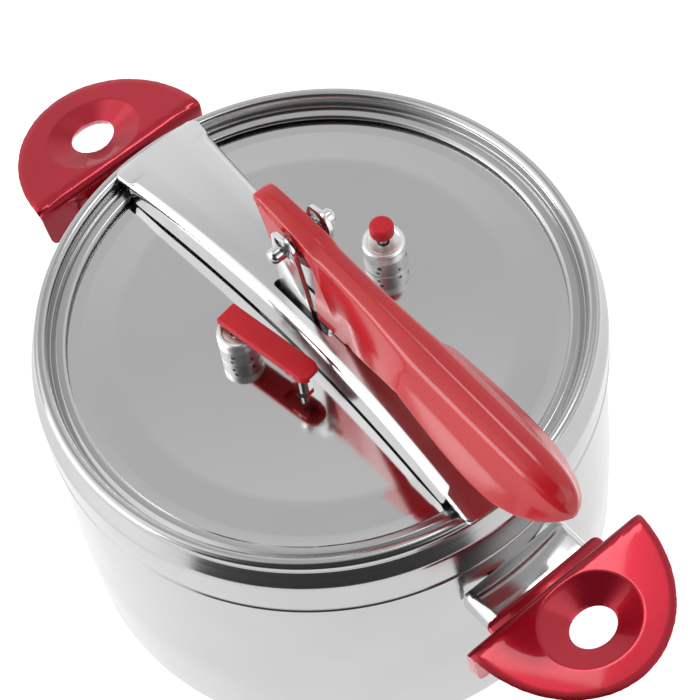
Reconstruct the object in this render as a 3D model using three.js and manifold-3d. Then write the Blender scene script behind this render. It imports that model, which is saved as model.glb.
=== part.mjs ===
// Inner-lid pressure cooker: a deep pot with two side handles, a lid that seals from
// inside against the rolled rim, and a bridge bar with a cam lever that pulls the lid up.
// Millimetres. +X runs along the bridge bar, +Z is up, z = 0 is the underside of the base.
import * as THREE from 'three';
import { mergeVertices } from 'three/addons/utils/BufferGeometryUtils.js';
import Module from 'manifold-3d';

const wasm = await Module();
wasm.setup();

// ---------------------------------------------------------------- driving dimensions
const POT_HEIGHT = 172; // top of the rolled rim
const COLLAR_R = 123.2; // plain band under the shoulder
const BELLY_R = 124.2; // widest radius, low on the wall
const CORNER_R = 14; // rounded edge between wall and floor
const NECK_R = 119.2; // wall radius just under the rolled rim
const WALL = 1.8; // sheet thickness of the pot
const FLOOR_Z = 6.6; // underside of the pot's own floor sheet
const RIM_R_OUT = 120; // rolled rim, outer radius
const RIM_R_IN = 110.7; // rolled rim, inner radius: the mouth
const RIM_ROLL_DEPTH = 8; // height of the rolled rim
const COLLAR_TOP = POT_HEIGHT - 15;
const COLLAR_BOTTOM = POT_HEIGHT - 33.5;
const BASE_R = 106; // capsule base
const BASE_CAP_T = 0.9;

const LID_Z = POT_HEIGHT - 11; // top face of the lid
const LID_T = 2;
const LID_R = 107.3; // shoulder of the lid, seen inside the mouth
const LID_FLANGE_R = 113; // flange that carries the gasket
const GASKET_R = 116.8;

const PIN_X = 1; // lever pivot
const PIN_Z = POT_HEIGHT + 56.4;
const PIN_R = 3.5;
const PIN_HALF = 16.8;

const BAR_X0 = -115; // bridge bar ends
const BAR_X1 = 121;
const BAR_T = 2.2;
const BAR_CROWN = 8.3; // height of the bar's top over the rim, mid-span
const BAR_END_RISE = 2.6; // and at its ends
const BAR_HALF_MID = 16.2;
const BAR_HALF_END = 23;
const BAR_Y = 2.8; // the bar lies a little to one side of the pivot
const BAR_LOW_Z = 166; // lower edge of its turned-down sides
const BAR_FLANGE_X = 104; // they stop inside the mouth

const EAR_T = 2; // clevis plates that rise from the lid
const EAR_FOOT_Y = 5; // outer face at the bar
const EAR_TOP_Y = 9.8; // outer face at the pin
const EAR_LOBE_R = 8.8;

const HANDLE_X = 146; // ridge of a side handle
const HANDLE_Z = POT_HEIGHT - 34.5;
const HANDLE_REACH = 54;
const HANDLE_HALF = 46.8;
const HANDLE_DROOP = 0.11; // radians
const HANDLE_T = 4.6;
const HANDLE_WALL_BOTTOM = POT_HEIGHT - 62;

const SAFETY_AT = [-5, 42.9];
const WORKING_AT = [-12.4, -31.6];
const VALVE_H = 15.5; // valve bodies above the lid
const POST_AT = [20.5, -24];
const FLAG_TURN = THREE.MathUtils.degToRad(8.5); // heading of the release lever

const GAP = 0.3; // clearance between touching pieces
const ROUND = 48; // facets of the pot and lid
const SMALL = 16; // facets of small turned pieces

// ---------------------------------------------------------------- materials
const paint = (name, color, roughness, metalness) =>
  new THREE.MeshStandardMaterial({ name, color, roughness, metalness });
const STEEL = ['polished_steel', 0xc9cbcd, 0.16, 1];
const SATIN = ['brushed_steel', 0xb9bbbd, 0.32, 1];
const ALU = ['aluminium', 0xa9acb0, 0.45, 1];
const HANDLE_RED = ['handle_red', 0xb01a32, 0.28, 0.2];
const LEVER_RED = ['lever_red', 0xb3222b, 0.12, 0];
const SMALL_RED = ['signal_red', 0xc4202e, 0.35, 0];
const RUBBER = ['black_rubber', 0x1c1c1e, 0.8, 0];
const SILICONE = ['grey_silicone', 0x55575a, 0.7, 0];

// ---------------------------------------------------------------- solids
const group = new THREE.Group();

function toManifold(geometry) {
  const bare = geometry.clone();
  bare.deleteAttribute('normal');
  bare.deleteAttribute('uv');
  const merged = mergeVertices(bare, 1e-4);
  return new wasm.Manifold(new wasm.Mesh({
    numProp: 3,
    vertProperties: Float32Array.from(merged.attributes.position.array),
    triVerts: Uint32Array.from(merged.index.array),
  }));
}

function fromManifold(solid) {
  const mesh = solid.getMesh();
  const geometry = new THREE.BufferGeometry();
  geometry.setAttribute('position', new THREE.BufferAttribute(mesh.vertProperties, 3));
  geometry.setIndex(new THREE.BufferAttribute(mesh.triVerts, 1));
  return geometry;
}

function join(...geometries) {
  return fromManifold(geometries.map(toManifold).reduce((a, b) => a.add(b)));
}

function cut(geometry, ...tools) {
  return fromManifold(tools.map(toManifold).reduce((a, b) => a.subtract(b), toManifold(geometry)));
}

function keep(geometry, tool) {
  return fromManifold(toManifold(geometry).intersect(toManifold(tool)));
}

// A ring or disc turned about Z from [radius, height] points in order around its section.
// Sections are drawn counter-clockwise with the radius to the right.
function turned(section, facets = SMALL) {
  const points = section.map(([r, z]) => new THREE.Vector2(r, z));
  if (section[0][0] > 0) points.push(points[0].clone());
  const lathe = new THREE.LatheGeometry(points, facets);
  return lathe.rotateX(Math.PI / 2);
}

function rod(radius, z0, z1, at = [0, 0], facets = SMALL) {
  const rodGeometry = new THREE.CylinderGeometry(radius, radius, z1 - z0, facets);
  return rodGeometry.rotateX(Math.PI / 2).translate(at[0], at[1], (z0 + z1) / 2);
}

function rodX(radius, x0, x1, y, z, facets = SMALL) {
  const rodGeometry = new THREE.CylinderGeometry(radius, radius, x1 - x0, facets);
  return rodGeometry.rotateZ(Math.PI / 2).translate((x0 + x1) / 2, y, z);
}

function rodY(radius, y0, y1, x, z, facets = SMALL) {
  const rodGeometry = new THREE.CylinderGeometry(radius, radius, y1 - y0, facets);
  return rodGeometry.translate(x, (y0 + y1) / 2, z);
}

function box(x0, x1, y0, y1, z0, z1) {
  const boxGeometry = new THREE.BoxGeometry(x1 - x0, y1 - y0, z1 - z0);
  return boxGeometry.translate((x0 + x1) / 2, (y0 + y1) / 2, (z0 + z1) / 2);
}

// A side profile in X and Z, extruded along Y between two faces.
function slab(shape, y0, y1, curveSegments = 12) {
  const options = { depth: y1 - y0, bevelEnabled: false, curveSegments };
  return new THREE.ExtrudeGeometry(shape, options).rotateX(Math.PI / 2).translate(0, y1, 0);
}

// Closed skin over a row of rings that all have the same number of points. The end caps
// fan out from one point of the ring.
function loft(rings, apex = 0) {
  const n = rings[0].length;
  const positions = rings.flat(2);
  const index = [];
  for (let i = 0; i + 1 < rings.length; i += 1) {
    for (let j = 0; j < n; j += 1) {
      const a = i * n + j;
      const b = i * n + ((j + 1) % n);
      index.push(a, b, a + n, b, b + n, a + n);
    }
  }
  const last = (rings.length - 1) * n;
  for (let k = 1; k + 1 < n; k += 1) {
    const j = (apex + k) % n;
    const next = (apex + k + 1) % n;
    index.push(apex, next, j);
    index.push(last + apex, last + j, last + next);
  }
  const geometry = new THREE.BufferGeometry();
  geometry.setAttribute('position', new THREE.Float32BufferAttribute(positions, 3));
  geometry.setIndex(index);
  return geometry;
}

function add(name, geometry, finish) {
  const mesh = new THREE.Mesh(geometry, paint(...finish));
  mesh.name = name;
  group.add(mesh);
  return mesh;
}

// Points on an arc in a [radius, height] section, ends included.
function arc(cr, cz, rr, rz, from, to, steps) {
  return Array.from({ length: steps + 1 }, (_, i) => {
    const angle = THREE.MathUtils.degToRad(from + ((to - from) * i) / steps);
    return [cr + rr * Math.cos(angle), cz + rz * Math.sin(angle)];
  });
}

// ---------------------------------------------------------------- pot
function potBody() {
  const rimR = (RIM_R_OUT + RIM_R_IN) / 2;
  const rimHalf = (RIM_R_OUT - RIM_R_IN) / 2;
  const rimZ = POT_HEIGHT - RIM_ROLL_DEPTH / 2;
  const step = 1.1; // the wall is drawn in just below the collar
  const cornerX = BELLY_R - 0.6 - CORNER_R;
  const cornerZ = FLOOR_Z + CORNER_R;
  const bellyZ = 60;
  const section = [
    [0, FLOOR_Z],
    ...arc(cornerX, cornerZ, CORNER_R, CORNER_R, -90, 0, 3),
    [BELLY_R, bellyZ],
    [COLLAR_R - step, COLLAR_BOTTOM - 2],
    [COLLAR_R, COLLAR_BOTTOM],
    [COLLAR_R, COLLAR_TOP],
    ...arc(NECK_R, COLLAR_TOP, COLLAR_R - NECK_R, 7, 20, 80, 2),
    ...arc(rimR, rimZ, rimHalf, RIM_ROLL_DEPTH / 2, -20, 262, 8),
    [rimR + 0.6, rimZ - RIM_ROLL_DEPTH / 2],
    [NECK_R - WALL, COLLAR_TOP + 5.6],
    [COLLAR_R - WALL, COLLAR_TOP],
    [COLLAR_R - WALL, COLLAR_BOTTOM],
    [COLLAR_R - step - WALL, COLLAR_BOTTOM - 2],
    [BELLY_R - WALL, bellyZ],
    ...arc(cornerX, cornerZ, CORNER_R - WALL, CORNER_R - WALL, 0, -90, 3),
    [0, FLOOR_Z + WALL],
  ];
  add('pot_body', turned(section, ROUND), STEEL);
}

function base() {
  const core = [[0, BASE_CAP_T + GAP], [BASE_R - BASE_CAP_T - GAP, BASE_CAP_T + GAP],
    [BASE_R - BASE_CAP_T - GAP, FLOOR_Z - GAP], [0, FLOOR_Z - GAP]];
  add('base_core', turned(core, ROUND), ALU);
  const cap = [[0, 0], [BASE_R - 2, 0], [BASE_R, 2], [BASE_R, FLOOR_Z - GAP],
    [BASE_R - BASE_CAP_T, FLOOR_Z - GAP], [BASE_R - BASE_CAP_T, BASE_CAP_T], [0, BASE_CAP_T]];
  add('base_cap', turned(cap, ROUND), STEEL);
}

// ---------------------------------------------------------------- side handles
const BRACKET_Z = POT_HEIGHT - 48; // top of the steel bracket
const BRACKET_HALF = 27;
const BRACKET_END = HANDLE_X - 4;
const SCREW_Y = 15;
const SCREW_Z = BRACKET_Z - 8;
const SCREW_R = 2;

function handleOutline(reach, half) {
  const shape = new THREE.Shape();
  shape.moveTo(0, -half);
  shape.absellipse(0, 0, reach, half, -Math.PI / 2, Math.PI / 2, false, 0);
  shape.closePath();
  return shape;
}

// Tapered elliptical plug: semi-axes shrink from its top to its bottom.
function ovalPlug(cx, topA, topB, bottomA, depth, lift) {
  const plug = new THREE.CylinderGeometry(1, bottomA / topA, depth, 32);
  return plug.rotateX(Math.PI / 2).scale(topA, topB, 1).translate(cx, 0, lift - depth / 2);
}

function handleShell() {
  const dishX = 22.9;
  const outline = handleOutline(HANDLE_REACH, HANDLE_HALF);
  const options = { depth: HANDLE_T, bevelEnabled: false, curveSegments: 24 };
  const panel = new THREE.ExtrudeGeometry(outline, options).translate(0, 0, -HANDLE_T);
  const boss = ovalPlug(dishX, 19.5, 23, 12.4, 5, -2);
  const dish = ovalPlug(dishX + 0.6, 19.5, 23.2, 7, 5, 1);
  const hole = ovalPlug(dishX + 2.2, 8.3, 10.7, 8.3, 40, 10);
  const top = cut(join(panel, boss), dish, hole);
  return top.rotateY(HANDLE_DROOP).translate(HANDLE_X, 0, HANDLE_Z);
}

function handleWall() {
  const shape = new THREE.Shape();
  const bottomHalf = HANDLE_HALF - 9;
  shape.moveTo(-HANDLE_HALF + 0.4, HANDLE_Z - 1.5);
  shape.lineTo(-HANDLE_HALF + 1.5, HANDLE_WALL_BOTTOM + 12);
  shape.quadraticCurveTo(-HANDLE_HALF + 2, HANDLE_WALL_BOTTOM, -bottomHalf, HANDLE_WALL_BOTTOM);
  shape.lineTo(bottomHalf, HANDLE_WALL_BOTTOM);
  shape.quadraticCurveTo(HANDLE_HALF - 2, HANDLE_WALL_BOTTOM,
    HANDLE_HALF - 1.5, HANDLE_WALL_BOTTOM + 12);
  shape.lineTo(HANDLE_HALF - 0.4, HANDLE_Z - 1.5);
  const wall = slab(shape, 0, 4.2, 4);
  return wall.rotateZ(-Math.PI / 2).translate(HANDLE_X - 0.6, 0, 0);
}

function sideHandle(name, turn) {
  const lip = box(HANDLE_X - 7, HANDLE_X + 1, -31, 31, BRACKET_Z + GAP, BRACKET_Z + 3.2);
  const bore = (y) => rodX(SCREW_R + GAP, BRACKET_END - 5, HANDLE_X + 6, y, SCREW_Z, 12);
  const solid = cut(join(handleShell(), handleWall(), lip), bore(-SCREW_Y), bore(SCREW_Y));
  add(name, solid.rotateZ(turn), HANDLE_RED);
}

function handleBracket(name, turn) {
  const x0 = COLLAR_R - 8;
  const zLow = HANDLE_WALL_BOTTOM + 2;
  const t = 2;
  const outer = box(x0, BRACKET_END, -BRACKET_HALF, BRACKET_HALF, zLow, BRACKET_Z);
  const inside = BRACKET_HALF - t;
  const inner = box(x0 + 10.5, BRACKET_END - t, -inside, inside, zLow - 5, BRACKET_Z - t);
  const potSide = rod(BELLY_R + GAP, 0, POT_HEIGHT, [0, 0], ROUND);
  const bore = (y) => rodX(SCREW_R + GAP, BRACKET_END - 5, BRACKET_END + 5, y, SCREW_Z, 12);
  const solid = cut(outer, inner, potSide, bore(-SCREW_Y), bore(SCREW_Y));
  add(name, solid.rotateZ(turn), SATIN);
}

function handleScrew(name, y, turn) {
  const screw = join(
    rodX(SCREW_R, BRACKET_END - 3, HANDLE_X + 3.4, y, SCREW_Z, 12),
    rodX(SCREW_R * 2, BRACKET_END - 4.6, BRACKET_END - 2 - GAP, y, SCREW_Z, 16),
  );
  add(name, screw.rotateZ(turn), SATIN);
}

// ---------------------------------------------------------------- lid
const VALVE_NECK_R = 5; // threaded shank of each valve through the lid
const POST_R = 2.2;
const RIVET_R = 2;
const BRACKET_X = [PIN_X - 27, PIN_X + 24];
const RIVETS = [-1, 1].flatMap((s) => [[BRACKET_X[0] + 5, s * 8], [BRACKET_X[1] - 5, s * 8]]);
const FOOT_T = 2.2; // foot plate of the clevis

function lidPlate() {
  const top = LID_Z;
  const drop = 4;
  const section = [
    [0, top - LID_T],
    [LID_R - 3 - LID_T * 0.4, top - LID_T],
    [LID_R - LID_T, top - LID_T - 1.4],
    [LID_R - LID_T, top - drop - LID_T * 0.6],
    [LID_R - LID_T + 1, top - drop - LID_T * 0.8],
    [LID_FLANGE_R, top - drop - LID_T * 0.8],
    [LID_FLANGE_R, top - drop],
    [LID_R + 0.4, top - drop],
    ...arc(LID_R - 3, top - 3, 3, 3, 0, 90, 3),
    [0, top],
  ];
  const holes = [
    ...[SAFETY_AT, WORKING_AT].map((at) => rod(VALVE_NECK_R + GAP, top - 6, top + 2, at)),
    ...RIVETS.map((at) => rod(RIVET_R + GAP, top - 6, top + 2, at, 12)),
    rod(POST_R + GAP, top - 6, top + 2, POST_AT, 12),
  ];
  add('lid_plate', cut(turned(section, ROUND), ...holes), STEEL);
}

function lidGasket() {
  const top = POT_HEIGHT - RIM_ROLL_DEPTH - GAP;
  const flangeTop = LID_Z - 4 + GAP;
  const flangeLow = LID_Z - 4 - LID_T * 0.8 - GAP;
  const section = [
    [LID_R + 0.8, flangeTop], [LID_FLANGE_R + GAP, flangeTop],
    [LID_FLANGE_R + GAP, flangeLow], [LID_R + 2, flangeLow],
    [LID_R + 2, flangeLow - 2.4], [GASKET_R - 1.5, flangeLow - 2.4],
    [GASKET_R, flangeLow - 1], [GASKET_R, top - 2.4],
    [GASKET_R - 2, top], [LID_R + 3.6, top], [LID_R + 1.4, top - 1.6],
  ];
  add('lid_gasket', turned(section, ROUND), RUBBER);
}

// One clevis plate, drawn flat and then leant outwards so that the pair is wider at the pin.
function earPlate(side) {
  const foot = LID_Z + GAP + FOOT_T / 2;
  const lean = Math.atan2(EAR_TOP_Y - EAR_FOOT_Y, PIN_Z - (POT_HEIGHT + BAR_CROWN));
  const rise = (PIN_Z - foot) / Math.cos(lean);
  const shape = new THREE.Shape();
  shape.moveTo(PIN_X - 16, 0);
  shape.lineTo(PIN_X + 5.5, 0);
  shape.lineTo(PIN_X + 5.5, 19);
  shape.lineTo(PIN_X + EAR_LOBE_R - 0.4, rise - 3);
  shape.absarc(PIN_X, rise, EAR_LOBE_R, -0.3, Math.PI + 0.3, false);
  shape.lineTo(PIN_X - 15, 21);
  shape.closePath();
  const eye = new THREE.Path();
  eye.absarc(PIN_X, rise, PIN_R + 0.7, -2.97, 1.2, false);
  eye.lineTo(PIN_X - 3.4, rise + 6.2);
  eye.closePath();
  shape.holes.push(eye);
  const plate = side > 0 ? slab(shape, -EAR_T, 0, 10) : slab(shape, 0, EAR_T, 10);
  const footY = EAR_TOP_Y - rise * Math.sin(lean);
  return plate.rotateX(-side * lean).translate(0, side * footY, foot);
}

function pivotBracket() {
  const z0 = LID_Z + GAP;
  const foot = box(BRACKET_X[0], BRACKET_X[1], -12.5, 12.5, z0, z0 + FOOT_T);
  const holes = RIVETS.map((at) => rod(RIVET_R + GAP, z0 - 2, z0 + 6, at, 12));
  const solid = join(foot, earPlate(1), earPlate(-1));
  add('pivot_bracket', cut(solid, ...holes), SATIN);
}

function bracketRivets() {
  const z0 = LID_Z - LID_T;
  const z1 = LID_Z + GAP + FOOT_T;
  const rivet = (at) => join(
    rod(RIVET_R, z0 - 1, z1 + 1, at, 12),
    rod(RIVET_R * 1.8, z0 - 1.5, z0 - GAP, at, 12),
    rod(RIVET_R * 1.8, z1 + GAP, z1 + 1.6, at, 12),
  );
  RIVETS.forEach((at, i) => add(`bracket_rivet_${i + 1}`, rivet(at), SATIN));
}

// ---------------------------------------------------------------- bridge bar
const barMid = (BAR_X0 + BAR_X1) / 2;
const barHalfSpan = (BAR_X1 - BAR_X0) / 2;
const barTop = (x) => POT_HEIGHT + BAR_CROWN
  - (BAR_CROWN - BAR_END_RISE) * ((x - barMid) / barHalfSpan) ** 2;

function barHalf(x) {
  const flare = Math.abs((x - barMid) / barHalfSpan) ** 1.8;
  const nearEnd = Math.max(0, Math.abs(x - barMid) - barHalfSpan + 3);
  return BAR_HALF_MID + (BAR_HALF_END - BAR_HALF_MID) * flare - nearEnd * 0.7;
}

// Section of the bar at x: a web with rounded shoulders and, inside the mouth, deep flanges.
function barSection(x, flanged) {
  const half = barHalf(x);
  const top = barTop(x);
  const shoulder = flanged ? 3 : BAR_T - 0.2;
  const low = flanged ? BAR_LOW_Z : top - BAR_T;
  const right = [[half, low],
    ...arc(half - shoulder, top - shoulder, shoulder, shoulder, 0, 90, 4)];
  const wallY = half - BAR_T;
  const innerR = shoulder - BAR_T + 0.2;
  const innerRight = flanged
    ? [[wallY, low], ...arc(wallY - innerR, top - BAR_T - innerR, innerR, innerR, 0, 90, 2)]
    : [0, 1, 2, 3].map((k) => [wallY - k * 0.4, low]);
  const flip = (points) => points.map(([y, z]) => [-y, z]).reverse();
  const outer = [...right, ...flip(right)];
  const inner = [...innerRight, ...flip(innerRight)].reverse();
  return [...outer, ...inner].map(([y, z]) => [x, y, z]);
}

const SHOULDER_POINT = 5; // index of a point on the bar's top edge
function bridgeBar() {
  const stations = [];
  const plain = (x) => barSection(x, false);
  const deep = (x) => barSection(x, true);
  stations.push(plain(BAR_X0), plain(BAR_X0 + 3), plain(-BAR_FLANGE_X - 0.4));
  const steps = 16;
  for (let i = 0; i <= steps; i += 1) {
    stations.push(deep(-BAR_FLANGE_X + (2 * BAR_FLANGE_X * i) / steps));
  }
  stations.push(plain(BAR_FLANGE_X + 0.4), plain(BAR_X1 - 3), plain(BAR_X1));
  const slot = box(PIN_X - 19, PIN_X + 18, 2.4, 6.8, POT_HEIGHT, POT_HEIGHT + 20);
  const otherSlot = slot.clone().rotateZ(Math.PI).translate(2 * PIN_X - 1, 0, 0);
  const blank = loft(stations, SHOULDER_POINT).translate(0, BAR_Y, 0);
  add('bridge_bar', cut(blank, slot, otherSlot), STEEL);
}

// ---------------------------------------------------------------- lever
const LEVER_X0 = -24;
const LEVER_X1 = 160.2;
// Along the lever: position, crest height over the rim, half width of the crest, half width
// of the lower edge, and depth of the section.
const LEVER_RUN = [
  [LEVER_X0, 64, 3.6, 4.2, 2.4], [-22.4, 65.8, 4.6, 5, 5], [-18, 67.2, 4.9, 5.4, 5.4],
  [-9, 67, 5, 6.2, 5.6], [10, 65.3, 5.7, 6.7, 5.6], [16, 64.5, 5.9, 7.2, 9.5],
  [26.5, 63.6, 6, 4.6, 54], [38, 62.8, 6.1, 7.4, 46], [50, 61.9, 6.4, 10, 37],
  [62, 60.9, 7, 12.6, 28], [75, 60, 7.3, 15.2, 18.8], [90, 58.9, 7.3, 16.8, 20.4],
  [105, 57.9, 7.3, 18, 22], [120, 56.9, 7.3, 18.4, 23.3], [132, 56, 7.3, 17.7, 23.5],
  [142, 54.7, 7.1, 15.2, 22], [150, 52.4, 6.4, 11.9, 17.5], [156, 48.6, 5, 7.8, 12],
  [158.8, 44.8, 3.2, 4.6, 6.5], [LEVER_X1, 41.6, 1.2, 1.4, 2.4],
];

// Half of a roof-shaped section, from the crest down the side and under the lower edge.
function leverSection([x, top, crest, low, depth]) {
  const ridge = POT_HEIGHT + top;
  const drop = Math.min(2.4, depth * 0.3);
  const lip = Math.min(1.8, depth * 0.3);
  const flank = depth - drop - lip;
  const half = [
    [crest * 0.5, -0.05], [crest * 0.85, -0.3 * drop], [crest, -drop],
    [crest + (low - crest) * 0.34, -drop - flank * 0.34],
    [crest + (low - crest) * 0.72, -drop - flank * 0.68],
    [low, -drop - flank], [low - 0.3, -drop - flank - 0.6 * lip], [low - 1.2, -depth],
    [Math.min(low - 1.4, low * 0.6), -depth - 0.02], [low * 0.2, -depth - 0.03],
  ];
  const other = half.map(([y, z]) => [-y, z]).reverse();
  return [...half.reverse(), ...other.reverse()].map(([y, z]) => [x, y, ridge + z]);
}

// The heel stands on the bar just past the pivot.
function leverHeel() {
  const foot = barTop(PIN_X) + GAP + 1;
  const high = POT_HEIGHT + 60;
  const shape = new THREE.Shape();
  shape.moveTo(PIN_X + 7.6, foot);
  shape.lineTo(PIN_X + 26, foot);
  shape.lineTo(PIN_X + 27, high);
  shape.lineTo(PIN_X + 13, high);
  shape.lineTo(PIN_X + 13.6, PIN_Z - 14);
  shape.lineTo(PIN_X + 9.6, foot + 10);
  shape.closePath();
  const wall = slab(shape, -12, 12);
  const taper = new THREE.Shape();
  taper.moveTo(-4.2, foot - 2);
  taper.lineTo(4.2, foot - 2);
  taper.lineTo(6.4, POT_HEIGHT + 48);
  taper.lineTo(5.4, high + 1);
  taper.lineTo(-5.4, high + 1);
  taper.lineTo(-6.4, POT_HEIGHT + 48);
  const prism = slab(taper, 0, 90).rotateZ(-Math.PI / 2).translate(PIN_X - 10, 0, 0);
  return keep(wall, prism);
}

// The part of the lever between the clevis plates, around the pin.
function leverCore() {
  const coreHalf = 5.3;
  const high = POT_HEIGHT + 62.5;
  const shape = new THREE.Shape();
  shape.moveTo(PIN_X - 21, high);
  shape.lineTo(PIN_X - 15, PIN_Z - 13);
  shape.quadraticCurveTo(PIN_X - 12, PIN_Z - 17, PIN_X - 6, PIN_Z - 12);
  shape.lineTo(PIN_X + 6, PIN_Z - 8.8);
  shape.lineTo(PIN_X + 14, PIN_Z - 4);
  shape.lineTo(PIN_X + 14, high - 1);
  shape.closePath();
  return slab(shape, -coreHalf, coreHalf, 4);
}

function leverHandle() {
  const body = loft(LEVER_RUN.map((station) => leverSection(station)));
  const camSlot = box(PIN_X + 9, PIN_X + 20.6, -CAM_HALF - GAP, CAM_HALF + GAP,
    POT_HEIGHT, PIN_Z - 20);
  const bore = rodY(PIN_R + GAP, -20, 20, PIN_X, PIN_Z);
  const hollow = loft(LEVER_RUN.slice(10, 16).map(([x, top, crest, low, depth]) =>
    leverSection([x, top - 3.6, crest - 1.5, low - 3, depth + 6])));
  add('lever_handle', cut(join(body, leverHeel(), leverCore()), camSlot, bore, hollow), LEVER_RED);
}

// Steel cam shoe that takes the load of the heel on the bar.
const CAM_HALF = 2.2;
function leverCam() {
  const barZ = barTop(PIN_X) + GAP;
  const shape = new THREE.Shape();
  shape.moveTo(PIN_X + 9.4, barZ + 2);
  shape.absarc(PIN_X + 11.4, barZ + 2, 2, Math.PI, 1.5 * Math.PI, false);
  shape.absarc(PIN_X + 18.2, barZ + 2, 2, -Math.PI / 2, 0, false);
  shape.lineTo(PIN_X + 20.2, PIN_Z - 20.4);
  shape.lineTo(PIN_X + 9.4, PIN_Z - 20.4);
  shape.closePath();
  add('lever_cam', slab(shape, -CAM_HALF, CAM_HALF, 6), SATIN);
}

function pivotPin() {
  const domeLength = 2.4;
  const end = PIN_HALF - domeLength;
  const section = [[0, -PIN_HALF], ...arc(0, -end, PIN_R, domeLength, -90, 0, 3).slice(1),
    ...arc(0, end, PIN_R, domeLength, 0, 90, 3).slice(0, -1), [0, PIN_HALF]];
  const pin = turned(section, SMALL).rotateX(-Math.PI / 2).translate(PIN_X, 0, PIN_Z);
  add('pivot_pin', pin, STEEL);
}

// ---------------------------------------------------------------- valves
const NUT_TOP = LID_Z - LID_T - 1.6;
const NUT_H = 6;

function placed(geometry, at) {
  return geometry.translate(at[0], at[1], 0);
}

// Turned valve body with a bore for its stem and spring, and a shank through the lid.
function valveBody(name, radius, at) {
  const z0 = LID_Z + GAP;
  const z1 = LID_Z + VALVE_H;
  const low = NUT_TOP - NUT_H - 1.5;
  const bore = 3.4;
  const section = [
    [1.6, low], [VALVE_NECK_R, low], [VALVE_NECK_R, z0],
    [radius - 0.6, z0], [radius, z0 + 0.6], [radius, z1 - 0.8], [radius - 0.8, z1],
    [2.6, z1], [2.6, z1 - 2], [bore, z1 - 2], [bore, z0 + 1], [1.6, z0 + 1],
  ];
  add(name, placed(turned(section, 20), at), ALU);
}

function valveNut(name, at) {
  const hex = new THREE.CylinderGeometry(9, 9, NUT_H, 6).rotateX(Math.PI / 2);
  hex.translate(at[0], at[1], NUT_TOP - NUT_H / 2);
  add(name, cut(hex, rod(VALVE_NECK_R + GAP, NUT_TOP - NUT_H - 1, NUT_TOP + 1, at)), SATIN);
}

function valveSeal(name, at) {
  const z1 = LID_Z - LID_T - GAP;
  const z0 = NUT_TOP + GAP;
  const section = [[VALVE_NECK_R + GAP, z0], [8.6, z0], [8.6, z1], [VALVE_NECK_R + GAP, z1]];
  add(name, placed(turned(section), at), SILICONE);
}

// Stem: a rod through the body with a collar that the spring bears on.
function valveStem(name, at, collarZ, top) {
  const low = NUT_TOP - NUT_H - 3;
  const section = [[0, low], [1.2, low], [1.2, collarZ], [2.9, collarZ], [2.9, collarZ + 1.2],
    [1.9, collarZ + 1.2], [1.9, top], [0, top]];
  add(name, placed(turned(section), at), SATIN);
}

function coilSpring(name, at, z0, z1) {
  const wire = 0.35;
  const coilR = 2.75;
  const turns = 3;
  class Helix extends THREE.Curve {
    getPoint(t, target = new THREE.Vector3()) {
      const angle = 2 * Math.PI * turns * t;
      return target.set(coilR * Math.cos(angle), coilR * Math.sin(angle),
        z0 + wire + (z1 - z0 - 2 * wire) * t);
    }
  }
  const shape = new THREE.Shape().absarc(0, 0, wire, 0, 2 * Math.PI, false);
  const extrudePath = new Helix();
  const options = { steps: turns * 10, curveSegments: 2, extrudePath, bevelEnabled: false };
  add(name, placed(new THREE.ExtrudeGeometry(shape, options), at), SATIN);
}

function safetyValve() {
  const top = LID_Z + VALVE_H;
  valveBody('safety_valve_body', 9.5, SAFETY_AT);
  valveNut('safety_valve_nut', SAFETY_AT);
  valveSeal('safety_valve_seal', SAFETY_AT);
  valveStem('safety_stem', SAFETY_AT, LID_Z + 2.2, top + 8.4);
  coilSpring('safety_spring', SAFETY_AT, LID_Z + 3.6, top - 2.3);
  const cap = top + 5.6;
  const button = [[2.2, cap], [4.9, cap], [5.3, cap + 0.6], [5.3, cap + 5],
    [4.6, cap + 5.8], [0, cap + 5.8], [0, cap + 3.2], [2.2, cap + 3.2]];
  add('indicator_button', placed(turned(button), SAFETY_AT), SMALL_RED);
}

function workingValve() {
  const top = LID_Z + VALVE_H;
  valveBody('working_valve_body', 8.6, WORKING_AT);
  valveNut('working_valve_nut', WORKING_AT);
  valveSeal('working_valve_seal', WORKING_AT);
  valveStem('working_valve_stem', WORKING_AT, LID_Z + 12, top + 1.4);
  coilSpring('working_valve_spring', WORKING_AT, LID_Z + 1.6, LID_Z + 11.7);
}

// ---------------------------------------------------------------- release lever
const FLAG_LENGTH = 45; // from its far end to the rounded end at the post
const FLAG_HALF = 5.4;
const FLAG_T = 3;
const FLAG_Z = LID_Z + VALVE_H + 1.7;
const FLAG_PIN_Z = FLAG_Z - 0.5;

function atPost(geometry) {
  return geometry.rotateZ(FLAG_TURN).translate(POST_AT[0], POST_AT[1], 0);
}

function releaseLever() {
  const shape = new THREE.Shape();
  const back = 3;
  shape.moveTo(back, -FLAG_HALF);
  shape.absarc(back, 0, FLAG_HALF, -Math.PI / 2, Math.PI / 2, false);
  shape.lineTo(back - FLAG_LENGTH, FLAG_HALF);
  shape.lineTo(back - FLAG_LENGTH, -FLAG_HALF);
  const options = { depth: FLAG_T, bevelEnabled: false, curveSegments: 8 };
  const plate = new THREE.ExtrudeGeometry(shape, options).translate(0, 0, FLAG_Z);
  const hub = box(-4, 4, -4.8, 4.8, FLAG_Z - 2.6, FLAG_Z + 0.5);
  const fork = box(-12, 12, -POST_R - GAP, POST_R + GAP, FLAG_Z - 6, FLAG_Z + FLAG_T - 1);
  const bore = rodY(1 + 0.2, -8, 8, 0, FLAG_PIN_Z, 12);
  add('release_lever', atPost(cut(join(plate, hub), fork, bore)), SMALL_RED);
}

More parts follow.
